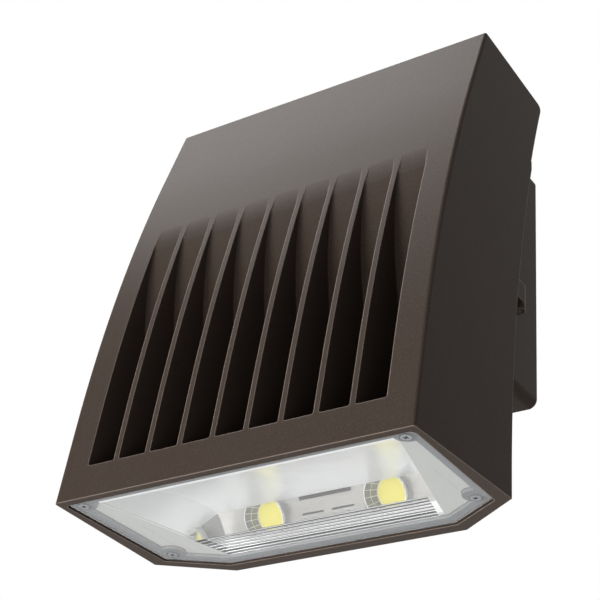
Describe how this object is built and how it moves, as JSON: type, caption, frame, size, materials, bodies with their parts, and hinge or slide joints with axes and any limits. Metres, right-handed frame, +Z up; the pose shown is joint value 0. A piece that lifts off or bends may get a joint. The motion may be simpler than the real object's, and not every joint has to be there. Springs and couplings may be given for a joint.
{
  "type": "wall pack light",
  "caption": "Outdoor wall light: a tall bowed front housing with vertical cooling fins, hinged on a shallow back box, lighting downwards through a flat clear lens.",
  "frame": {"origin": "centre of the four wall fixing holes, in the plane of the back box's rear face (the wall)", "axes": "+Z up along the wall, +Y into the wall, -Y out towards the viewer, +X to the right as seen from the front"},
  "size_m": [0.2562, 0.171, 0.3218],
  "materials": {
    "bronze_coat": "dark bronze textured powder coat on die-cast aluminium, low sheen",
    "lens_clear": "clear, glossy, with prism ribs on the inner face",
    "gasket_rubber": "matte black",
    "silicone": "matte light grey silicone",
    "stainless": "bright stainless steel",
    "screw_dark": "dark plated steel",
    "ground_brass": "green-dyed brass",
    "plug_black": "matte black",
    "terminal_plastic": "satin off-white",
    "reflector_mirror": "bright specular sheet",
    "holder_white": "satin white",
    "board_ceramic": "matte white ceramic",
    "phosphor": "satin yellow silicone with phosphor",
    "driver_case": "satin light grey case",
    "surge_case": "satin black case"
  },
  "bodies": {
    "wall_side": {"back_box": "bronze_coat", "wall_gasket": "gasket_rubber", "conduit_plug_left": "plug_black", "conduit_plug_right": "plug_black", "hinge_pin_lower": "stainless", "hinge_pin_upper": "stainless", "ground_screw": "ground_brass", "terminal_block": "terminal_plastic"},
    "door": {"door_housing": "bronze_coat", "door_gasket": "gasket_rubber", "lens": "lens_clear", "lens_gasket": "silicone", "lens_screws": "screw_dark", "reflector": "reflector_mirror", "reflector_end_left": "reflector_mirror", "reflector_end_right": "reflector_mirror", "led_holder_left": "holder_white", "led_holder_right": "holder_white", "led_board_left": "board_ceramic", "led_board_right": "board_ceramic", "led_phosphor_left": "phosphor", "led_phosphor_right": "phosphor", "led_screws": "stainless", "wire_grommets": "gasket_rubber", "driver": "driver_case", "surge_protector": "surge_case", "compartment_screws": "stainless"},
    "closing_screw": {"door_screw": "stainless", "screw_retainer": "stainless"}
  },
  "joints": [
    {"name": "door_hinge", "type": "hinge", "parent": "wall_side", "child": "door", "pos_m": [0.1173, -0.0371, 0], "axis": [0, 0, 1], "range_deg": [0, 95]},
    {"name": "door_screw_turn", "type": "hinge", "parent": "door", "child": "closing_screw", "pos_m": [-0.118, -0.044, -0.033], "axis": [0, 1, 0], "continuous": true}
  ]
}
